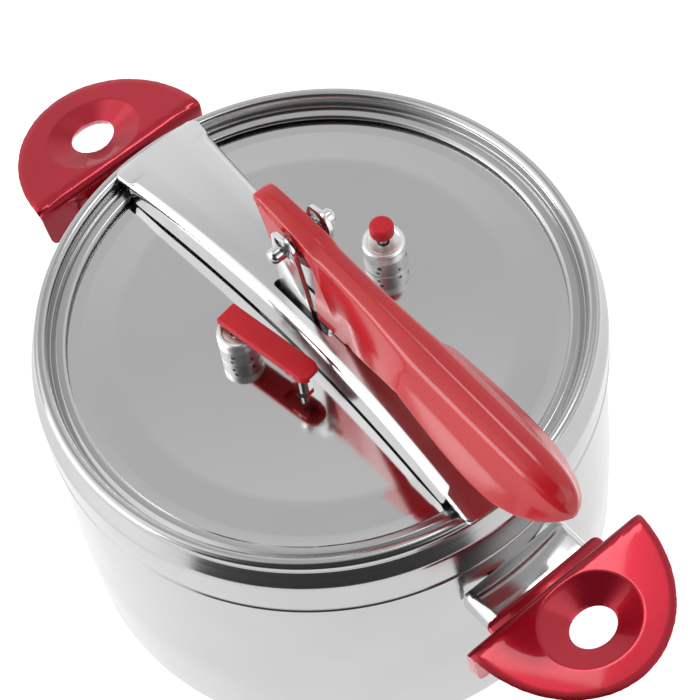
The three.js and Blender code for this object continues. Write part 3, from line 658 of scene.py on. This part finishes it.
def build_bar():
    """Crowned bar across the mouth, with two slots for the clevis plates."""
    stations = []
    count, run_out = 96, 2.2  # run_out is the length over which the sides end
    for k in range(count + 1):
        x = BAR_X0 + (BAR_X1 - BAR_X0) * (0.5 - 0.5 * math.cos(math.pi * k / count))
        over = (abs(x) - BAR_FLANGE_X) / run_out
        full = bar_top(x) - BAR_LOW_Z
        deep = full + (BAR_T - full) * min(1.0, max(0.0, over))
        stations.append(bar_section(x, deep))
    piece = make("bar", *loft(stations), BAR_STEEL, "pot", "polished_steel", ["bridge_bar"], sharp=38)
    slots = []
    for side in (-1, 1):
        y0, y1 = sorted((side * 2.4, side * 6.8))
        outline = rounded([
            (PIN_X, y0), (PIN_X + 18, y0, 1.6), (PIN_X + 18, y1, 1.6), (PIN_X - 19, y1, 1.6),
            (PIN_X - 19, y0, 1.6), (PIN_X, y0),
        ])[:-1]
        slots.append(loft([[(x, y, z) for x, y in outline] for z in (RIM_Z, RIM_Z + 20)]))
    boolean(piece, tool(*merged(*slots)), "DIFFERENCE", 38)


# ---------------------------------------------------------------- clevis and pin
def ear(side):
    """One clevis plate with its oval eye, leaning outwards from the lid to the pin."""
    foot = LID_Z + 1.4
    lean = math.atan2(EAR_TOP_Y - EAR_FOOT_Y, PIN_Z - (RIM_Z + BAR_CROWN))
    rise = (PIN_Z - foot) / math.cos(lean)
    outline = rounded([
        (PIN_X - 16, 0), (PIN_X + 5.5, 0), (PIN_X + 5.5, 19, 12), (PIN_X + EAR_R - 0.6, rise - 4, 6),
        (PIN_X + EAR_R, rise + 5, 8), (PIN_X + 3, rise + EAR_R + 0.6, 6), (PIN_X - 5.2, rise + 7.6, 3),
        (PIN_X - 7.4, rise - 3, 6), (PIN_X - 15, 21, 10), (PIN_X - 16, 0),
    ], 8)[:-1]
    rings = []
    across = Vector((0, side * math.cos(lean), -math.sin(lean)))
    up = Vector((0, side * math.sin(lean), math.cos(lean)))
    base = Vector((0, side * (EAR_TOP_Y - rise * math.sin(lean)), foot))
    for depth in (-EAR_T, 0):
        rings.append([tuple(Vector((x, 0, 0)) + base + up * z + across * depth) for x, z in outline])
    verts, faces = loft(rings)
    eye = rounded([
        (PIN_X - 4, rise), (PIN_X - 4, rise + 5.8, 2), (PIN_X - 1.4, rise + 6.6, 2),
        (PIN_X + 4.3, rise + 1, 4),
        (PIN_X + 4.3, rise - 3.4, 2.4), (PIN_X + 1, rise - 4.6, 2.4), (PIN_X - 4, rise - 3.2, 2),
        (PIN_X - 4, rise),
    ], 6)[:-1]
    eye_rings = []
    for depth in (-EAR_T - 2, 2):
        eye_rings.append([tuple(Vector((x, 0, 0)) + base + up * z + across * depth) for x, z in eye])
    return (verts, faces), loft(eye_rings)


def build_clevis():
    x0, x1 = corner("pivot_bracket", 0, 0), corner("pivot_bracket", 1, 0)
    z0, half = LID_Z + 0.6, 12.5
    outline = rounded([
        (0, -half), (x1, -half, 3), (x1, half, 3), (x0, half, 3), (x0, -half, 3), (0, -half),
    ])[:-1]
    foot = loft([[(x, y, z) for x, y in outline] for z in (z0, z0 + 2)])
    piece = make("clevis", *foot, PLATE, "lid", "brushed_steel", ["pivot_bracket"], sharp=30)
    for side in (1, -1):
        plate, eye = ear(side)
        boolean(piece, tool(*plate), "UNION", 30)
        boolean(piece, tool(*eye), "DIFFERENCE", 30)
    bevel(piece, 0.35, 2, 35)


def build_pin():
    dome = 2.6
    half = PIN_HALF
    r = PIN_R - 0.1
    low_end = arc(0, -half + dome, r, dome, -90, 0, 8)[1:]
    high_end = arc(0, half - dome, r, dome, 0, 90, 8)[:-1]
    path = [(0, -half), *low_end, *high_end, (0, half)]
    piece = turned("pin", path, MIRROR, None, None, segments=48)
    place = Matrix.Translation((PIN_X * MM, 0, PIN_Z * MM))
    piece.data.transform(place @ Matrix.Rotation(-math.pi / 2, 4, "X"))
    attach(piece, "lid")
    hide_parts("pivot_pin")


# ---------------------------------------------------------------- lever
# Place along the lever, height of the crest over the rim, half width of the crest, half width
# of the lower edge and depth of the section.
LEVER_RUN = [
    (-24, 64, 3.6, 4.2, 2.4), (-22.4, 65.8, 4.6, 5, 5), (-18, 67.0, 4.9, 5.4, 5.4),
    (-9, 67, 5, 6.2, 5.6),
    (10, 65.3, 5.7, 6.7, 5.6), (16, 64.5, 5.9, 7.2, 9.5), (26.5, 63.6, 6, 4.6, 54),
    (38, 62.8, 6.1, 7.4, 46),
    (50, 61.9, 6.4, 10, 37), (62, 60.9, 7, 12.6, 28), (75, 60, 7.3, 15.2, 19.2),
    (90, 58.9, 7.3, 16.8, 20.4),
    (105, 57.9, 7.3, 18, 22), (120, 56.9, 7.3, 18.4, 23.3), (132, 56, 7.3, 17.7, 23.5),
    (142, 54.7, 7.1, 15.2, 22),
    (150, 52.4, 6.4, 11.9, 17.5), (156, 48.6, 5, 7.8, 12), (158.8, 44.8, 3.2, 4.6, 6.5),
    (160.2, 41.6, 1.2, 1.4, 2.4),
]


def run_at(x):
    """Values along the lever at x, on a smooth curve through the stations."""
    for i in range(len(LEVER_RUN) - 1):
        a, b = LEVER_RUN[i], LEVER_RUN[i + 1]
        if a[0] <= x <= b[0]:
            before = LEVER_RUN[max(0, i - 1)]
            after = LEVER_RUN[min(len(LEVER_RUN) - 1, i + 2)]
            t, span = (x - a[0]) / (b[0] - a[0]), b[0] - a[0]
            values = []
            for k in range(1, 5):
                chord = (b[k] - a[k]) / span
                m0 = (b[k] - before[k]) / (b[0] - before[0]) if i else chord
                m1 = (after[k] - a[k]) / (after[0] - a[0])
                if k == 4 or 14 < x < 28:
                    m0 = m1 = chord
                first, second = 2 * t ** 3 - 3 * t ** 2 + 1, -2 * t ** 3 + 3 * t ** 2
                leave, arrive = t ** 3 - 2 * t ** 2 + t, t ** 3 - t ** 2
                values.append(first * a[k] + leave * span * m0 + second * b[k] + arrive * span * m1)
            return values
    return LEVER_RUN[-1][1:]


def lever_ring(x):
    """Section of the lever: nearly flat crest with round edges, sloping flanks, round lower lip."""
    top, crest, low, deep = run_at(x)
    ridge = RIM_Z + top
    edge = min(4.5, crest * 0.6, deep * 0.4)
    lip = min(1.8, deep * 0.22)
    flank = deep - lip
    bow = min(1.0, max(0.0, (x - 40) / 40))
    mid = (crest + (low - crest) * (0.42 - 0.06 * bow), -flank * 0.55)
    side = rounded([
        (0, 0), (crest * 0.1, -0.02, 8), (crest * 0.97, -edge * 0.34, edge * 1.5), mid + (30,),
        (low, -flank, lip),
        (low - lip * 0.9, -deep, lip * 0.6), (0, -deep),
    ], 7)
    right = [(x, y, ridge + z) for y, z in side[1:-1]]
    left = [(x, -y, z) for _, y, z in reversed(right)]
    return [(x, 0, ridge + side[0][1])] + right + [(x, 0, ridge - deep)] + left


def lever_body():
    """The lever's outer form, with more stations at its ends and where the heel starts."""
    x0, x1, count = LEVER_RUN[0][0], LEVER_RUN[-1][0], 120
    stations = [x0 + (x1 - x0) * k / count for k in range(count + 1)]
    stations += [x0 + 0.4, x0 + 1.0, x1 - 0.25, x1 - 0.7, 26.4]
    return loft([lever_ring(x) for x in sorted(set(stations))])


def lever_heel():
    """The heel that stands on the bar: a tapered wall under the lever's front."""
    foot, high = bar_top(PIN_X) + 1.3, RIM_Z + 60
    profile = rounded([
        (PIN_X + 8, foot), (PIN_X + 26, foot, 1), (PIN_X + 27, foot + 3, 1), (PIN_X + 27, high),
        (PIN_X + 13, high),
        (PIN_X + 13.6, PIN_Z - 14, 8), (PIN_X + 9.6, foot + 10, 8), (PIN_X + 8, foot),
    ], 8)[:-1]
    rings = []
    for side in (-1, 1):
        ring = []
        for x, z in profile:
            f = (z - foot) / (high - foot)
            ring.append((x, side * (4.2 + 2.1 * math.sin(min(1.0, f) * 2.2)), z))
        rings.append(ring)
    return loft(rings)


def lever_core():
    """The part of the lever between the ears, round the pin."""
    high = RIM_Z + 62.5
    profile = rounded([
        (PIN_X - 21.5, high), (PIN_X - 15, PIN_Z - 16, 4), (PIN_X - 6, PIN_Z - 12, 6),
        (PIN_X + 6, PIN_Z - 8.8, 6),
        (PIN_X + 14, PIN_Z - 4), (PIN_X + 14, high - 1), (PIN_X - 21.5, high),
    ], 8)[:-1]
    rings = [[(x, y, z) for x, z in profile] for y in (-5.3, 5.3)]
    return loft(rings)


def build_lever():
    piece = make("lever", *lever_body(), LEVER_RED, "lever", "lever_red", ["lever_handle"], sharp=34)
    boolean(piece, tool(*lever_heel()), "UNION", 34)
    boolean(piece, tool(*lever_core()), "UNION", 34)
    bore = cylinder(PIN_R + 0.2, (PIN_X, -20, PIN_Z), (PIN_X, 20, PIN_Z))
    boolean(piece, tool(*bore), "DIFFERENCE", 34)
    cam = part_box("lever_cam")
    x0, x1 = cam[0][0] / MM - 0.4, cam[1][0] / MM + 0.4
    half, z1 = cam[1][1] / MM + 0.3, cam[1][2] / MM + 0.4
    outline = [(x0, -half), (x1, -half), (x1, half), (x0, half)]
    pocket = loft([[(x, y, z) for x, y in outline] for z in (RIM_Z, z1)])
    boolean(piece, tool(*pocket), "DIFFERENCE", 34)


# ---------------------------------------------------------------- valves
def build_valve(name, at, radius, nodes):
    """Turned body with grooves, a row of steam holes and a shank through the lid."""
    z0, z1 = LID_Z + 0.3, VALVE_TOP
    low = corner(nodes[0], 0, 2)
    grooves = []
    for z in (z1 - 5.2, z1 - 4.4, z1 - 3.6, z1 - 2.8, z1 - 2.0):
        grooves += [(radius, z - 0.28, 0.1), (radius - 0.22, z, 0.1), (radius, z + 0.28, 0.1)]
    path = rounded([
        (1.6, low), (4.6, low, 0.3), (5, low + 0.5, 0.3), (5, z0), (radius - 0.5, z0, 0.2),
        (radius, z0 + 0.6, 0.3),
        *grooves, (radius, z1 - 0.9, 0.4), (radius - 0.9, z1, 0.3), (radius - 2.2, z1, 0.3),
        (radius - 2.8, z1 - 0.7, 0.4), (2.9, z1 - 0.7, 0.3), (2.6, z1 - 1.2, 0.2), (2.6, z1 - 2),
        (3.4, z1 - 2),
        (3.4, z0 + 1), (1.6, z0 + 1), (1.6, low),
    ], 4)
    piece = turned(name, path[:-1], ALU, "lid", "aluminium", nodes, at, 96, 24)
    holes = []
    for z, radius_z, count, shift in ((z0 + 3.2, 0.8, 6, 0), (z0 + 6.8, 1.0, 4, 0.4)):
        for k in range(count):
            a = 2 * math.pi * (k + shift) / count
            out = Vector((math.cos(a), math.sin(a), 0))
            centre = Vector((at[0], at[1], z))
            holes.append(cylinder(radius_z, centre + out * 5.2, centre + out * (radius + 2), 16))
    boolean(piece, tool(*merged(*holes)), "DIFFERENCE", 24)


def build_button():
    low, top = corner("indicator_button", 0, 2), corner("indicator_button", 1, 2)
    r = 5.3
    path = rounded([
        (2.2, low), (r - 0.5, low, 0.3), (r, low + 0.5, 0.3), (r, top - 0.9, 0.8),
        (r - 1.2, top, 0.8), (3.4, top - 0.12, 1),
        (0, top - 0.12), (0, low + 3.2), (2.2, low + 3.2), (2.2, low),
    ])
    turned("button_cap", path[:-1], SIGNAL_RED, "safety_button", "signal_red", ["indicator_button"],
           SAFETY_AT, 64)


def build_stem(name, node, body, at, collar):
    """Round stem with a softened top and a collar whose underside is at collar."""
    low, top = corner(node, 0, 2), corner(node, 1, 2)
    path = rounded([
        (0, low), (1.2, low, 0.3), (1.2, collar), (2.9, collar, 0.2), (2.9, collar + 1.2, 0.2),
        (1.9, collar + 1.2), (1.9, top, 0.4), (0, top),
    ])
    turned(name, path, PLATE, body, "brushed_steel", [node], at, 40)


def build_spring(name, node, at):
    """Coil of wire between the spring node's low and high ends, round the stem."""
    low, high = corner(node, 0, 2), corner(node, 1, 2)
    wire, coil, turns, per_turn, around = 0.34, 2.75, 5, 28, 10
    rings = []
    for k in range(turns * per_turn + 1):
        t = k / (turns * per_turn)
        a = 2 * math.pi * turns * t
        rise = t - 0.09 * math.sin(4 * math.pi * t) / math.pi
        height = low + wire + (high - low - 2 * wire) * rise
        centre = Vector((at[0] + coil * math.cos(a), at[1] + coil * math.sin(a), height))
        out = Vector((math.cos(a), math.sin(a), 0))
        turn = [2 * math.pi * b / around for b in range(around)]
        rings.append([
            tuple(centre + wire * (math.cos(b) * out + Vector((0, 0, math.sin(b))))) for b in turn
        ])
    piece = make(name, *loft(rings), PLATE, "lid", "brushed_steel", [node])
    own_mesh(piece)


# ---------------------------------------------------------------- release lever
def at_post(point):
    """A point of the release lever, drawn along X, at its post and turned as in the photo."""
    x, y, z = point
    c, s = math.cos(FLAG_TURN), math.sin(FLAG_TURN)
    return POST_AT[0] + x * c - y * s, POST_AT[1] + x * s + y * c, z


def build_release_lever():
    back, pin_z = 3.0, FLAG_Z - 0.5
    x0, x1 = back - FLAG_LENGTH, back + FLAG_HALF
    outline = rounded([
        (0, -FLAG_HALF), (x1, -FLAG_HALF, 5.2), (x1, FLAG_HALF, 5.2), (x0, FLAG_HALF, 0.9),
        (x0, -FLAG_HALF, 0.9), (0, -FLAG_HALF),
    ], 10)[:-1]
    rings = []
    for inset, z in ((0.0, FLAG_Z), (0.0, FLAG_Z + FLAG_T - 0.9), (0.18, FLAG_Z + FLAG_T - 0.45),
                     (0.5, FLAG_Z + FLAG_T - 0.14), (1.0, FLAG_Z + FLAG_T)):
        ring = []
        for x, y in outline:
            middle_x = back + FLAG_HALF - FLAG_LENGTH / 2 - 2
            fx = 1 - inset / (FLAG_LENGTH / 2)
            ring.append((middle_x + (x - middle_x) * fx, y * (1 - inset / FLAG_HALF), z))
        rings.append(ring)
    piece = make("release_flag", *loft(rings), SIGNAL_RED, None, None, sharp=40)
    hub = loft([[(x, y, z) for x, y in ((-4, -4.8), (4, -4.8), (4, 4.8), (-4, 4.8))]
                for z in (FLAG_Z - 2.6, FLAG_Z + 0.5)])
    boolean(piece, tool(*hub), "UNION", 40)
    fork = loft([[(x, y, z) for x, y in ((-12, -2.5), (12, -2.5), (12, 2.5), (-12, 2.5))]
                 for z in (FLAG_Z - 6, FLAG_Z + FLAG_T - 1)])
    boolean(piece, tool(*fork), "DIFFERENCE", 40)
    boolean(piece, tool(*cylinder(1.2, (0, -8, pin_z), (0, 8, pin_z))), "DIFFERENCE", 40)
    for vertex in piece.data.vertices:
        vertex.co = Vector(at_post(vertex.co / MM)) * MM
    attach(piece, "release_lever")
    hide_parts("release_lever")


# ---------------------------------------------------------------- the rest of the CAD nodes
def paint_kept_nodes():
    """Materials for the CAD nodes that no piece replaces, by a part of their names."""
    kept = {
        "handle_screw": FOLDED, "bracket_rivet": MIRROR, "lever_cam": PLATE, "base_core": ALU,
        "_nut": PLATE,
        "_seal": SILICONE, "release_post": FOLDED, "release_pin": FOLDED,
    }
    for node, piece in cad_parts.items():
        for key, material in kept.items():
            if key in node:
                for place in piece.material_slots:
                    place.material = material


# ---------------------------------------------------------------- stage, light and camera
def zone(tree, coords, colour, towards, edges, value):
    """Multiplies a colour by value round one direction. edges are the angles in degrees between
    which it fades in."""
    dot = tree.nodes.new("ShaderNodeVectorMath")
    dot.operation = "DOT_PRODUCT"
    dot.inputs[1].default_value = towards
    tree.links.new(coords.outputs["Generated"], dot.inputs[0])
    fade = tree.nodes.new("ShaderNodeMapRange")
    fade.interpolation_type = "SMOOTHSTEP"
    fade.inputs["From Min"].default_value = math.cos(math.radians(edges[0]))
    fade.inputs["From Max"].default_value = math.cos(math.radians(edges[1]))
    fade.inputs["To Min"].default_value = 1.0
    fade.inputs["To Max"].default_value = value
    tree.links.new(dot.outputs["Value"], fade.inputs["Value"])
    mixed = tree.nodes.new("ShaderNodeMix")
    mixed.data_type = "RGBA"
    mixed.blend_type = "MULTIPLY"
    mixed.inputs["Factor"].default_value = 1.0
    tree.links.new(colour, mixed.inputs["A"])
    tree.links.new(fade.outputs["Result"], mixed.inputs["B"])
    return mixed.outputs["Result"]


def build_world():
    """Studio sky, brightest 15 to 40 degrees up, with a dark and a bright patch for the steel."""
    world = bpy.data.worlds.new("studio")
    bpy.context.scene.world = world
    world.use_nodes = True
    tree = world.node_tree
    background = tree.nodes["Background"]
    coords = tree.nodes.new("ShaderNodeTexCoord")
    split = tree.nodes.new("ShaderNodeSeparateXYZ")
    tree.links.new(coords.outputs["Generated"], split.inputs[0])
    sky = tree.nodes.new("ShaderNodeValToRGB")
    stops = [  # (height from straight down, 0, to straight up, 1; brightness)
        (0.0, 0.9), (0.50, 0.5), (0.56, 0.75), (0.65, 1.1), (0.80, 1.05), (0.86, 0.88),
        (0.885, 0.62), (0.92, 0.64), (0.95, 0.80), (1.0, 0.62),
    ]
    elements = sky.color_ramp.elements
    while len(elements) < len(stops):
        elements.new(0.5)
    for element, (position, value) in zip(elements, stops):
        element.position = position
        element.color = (value, value, value, 1)
    half = tree.nodes.new("ShaderNodeMapRange")
    half.inputs["From Min"].default_value = -1
    tree.links.new(split.outputs["Z"], half.inputs["Value"])
    tree.links.new(half.outputs["Result"], sky.inputs["Fac"])
    dark_towards, dark_edges = (0.620, -0.387, 0.683), (47, 29)  # round the camera
    bright_towards, bright_edges = (-0.454, -0.40, 0.796), (30, 14)  # mirrored by the bar's near side
    shade = zone(tree, coords, sky.outputs["Color"], dark_towards, dark_edges, 0.07)
    lit = zone(tree, coords, shade, bright_towards, bright_edges, 2.1)
    tree.links.new(lit, background.inputs["Color"])


def area_light(name, direction, distance, size, radiance, aim=(0.02, 0, RIM_Z * MM)):
    """Soft light at a distance from the aim point along a direction, facing it; in metres."""
    light = bpy.data.lights.new(name, "AREA")
    light.shape = "RECTANGLE"
    light.size, light.size_y = size
    light.energy = radiance * math.pi * size[0] * size[1]
    lamp = bpy.data.objects.new(name, light)
    place = Vector(direction).normalized()
    lamp.location = Vector(aim) + place * distance
    lamp.rotation_euler = place.to_track_quat("Z", "Y").to_euler()
    bpy.context.scene.collection.objects.link(lamp)


def build_flag():
    """Black card on the front side, which only the steel's reflections see."""
    away, half, tall = 0.56, 0.48, 0.42
    out = Vector((0.780, -0.626, 0))
    side = Vector((0.626, 0.780, 0))
    verts = [tuple(out * away + side * w + Vector((0, 0, z))) for w, z in
             ((-half, 0.01), (half, 0.01), (half, tall), (-half, tall))]
    mesh = bpy.data.meshes.new("black_flag")
    mesh.from_pydata(verts, [], [(0, 1, 2, 3)])
    flag = bpy.data.objects.new("black_flag", mesh)
    bpy.context.scene.collection.objects.link(flag)
    material, _, shader = new_material("black_card")
    shader.inputs["Base Color"].default_value = (0.03, 0.03, 0.03, 1)
    shader.inputs["Roughness"].default_value = 1.0
    mesh.materials.append(material)
    for rays in ("visible_camera", "visible_diffuse", "visible_shadow", "visible_transmission"):
        setattr(flag, rays, False)


def build_stage():
    """Pale floor that reaches the horizon, the black card and the soft lights."""
    half = 40.0
    mesh = bpy.data.meshes.new("floor")
    corners = [(-half, -half, 0), (half, -half, 0), (half, half, 0), (-half, half, 0)]
    mesh.from_pydata(corners, [], [(0, 1, 2, 3)])
    floor = bpy.data.objects.new("floor", mesh)
    bpy.context.scene.collection.objects.link(floor)
    material, _, shader = new_material("pale_floor")
    shader.inputs["Base Color"].default_value = (0.25, 0.25, 0.25, 1)
    shader.inputs["Roughness"].default_value = 0.9
    shader.inputs["Emission Color"].default_value = (1, 1, 1, 1)
    shader.inputs["Emission Strength"].default_value = 1.0
    mesh.materials.append(material)
    build_flag()
    area_light("softbox_front", (-0.45, -0.88, 0.25), 1.5, (1.2, 0.8), 4.8)
    area_light("softbox_over_handle", (-0.241, 0.292, 0.926), 0.80, (0.20, 0.24), 5.0,
               aim=(0.17, 0, HANDLE_Z * MM))
    area_light("softbox_right", (0.9, 0.3, 0.45), 1.6, (1.3, 1.3), 0.8)


def build_camera():
    """The photograph's view: from the +X, -Y side, high above the lid, rolled a little."""
    azimuth, elevation, distance, roll, lens = 1.0142, 1.0068, 0.95326, -0.1669, 118.216
    target = Vector((0.02505, -0.00127, RIM_Z * MM))
    back = Vector((math.sin(azimuth) * math.cos(elevation), -math.cos(azimuth) * math.cos(elevation),
                   math.sin(elevation)))
    right = Vector((0, 0, 1)).cross(back).normalized()
    up = back.cross(right)
    right, up = math.cos(roll) * right + math.sin(roll) * up, math.cos(roll) * up - math.sin(roll) * right
    data = bpy.data.cameras.new("camera")
    data.lens = lens
    data.sensor_width = 36
    camera = bpy.data.objects.new("camera", data)
    turn = Matrix((right, up, back)).transposed().to_4x4()
    camera.matrix_world = Matrix.Translation(target + back * distance) @ turn
    bpy.context.scene.collection.objects.link(camera)
    bpy.context.scene.camera = camera


# ---------------------------------------------------------------- build
build_camera()
build_world()
build_stage()
build_pot()
build_base()
for handle_side, label in ((1, "right"), (-1, "left")):
    build_handle(f"handle_{label}", handle_side)
    build_bracket(f"handle_bracket_{label}", handle_side)
build_lid()
build_gasket()
build_bar()
build_clevis()
build_pin()
build_lever()
build_valve("indicator_valve", SAFETY_AT, SAFETY_R, ["safety_valve_body"])
build_valve("pressure_valve", WORKING_AT, WORKING_R, ["working_valve_body"])
build_button()
build_stem("indicator_stem", "safety_stem", "safety_button", SAFETY_AT, SAFETY_COLLAR_Z)
build_stem("pressure_stem", "working_valve_stem", "working_stem", WORKING_AT, WORKING_COLLAR_Z)
build_spring("indicator_spring", "safety_spring", SAFETY_AT)
build_spring("pressure_spring", "working_valve_spring", WORKING_AT)
build_release_lever()
paint_kept_nodes()
bpy.context.scene.view_settings.view_transform = "Standard"

bpy.context.view_layer.update()
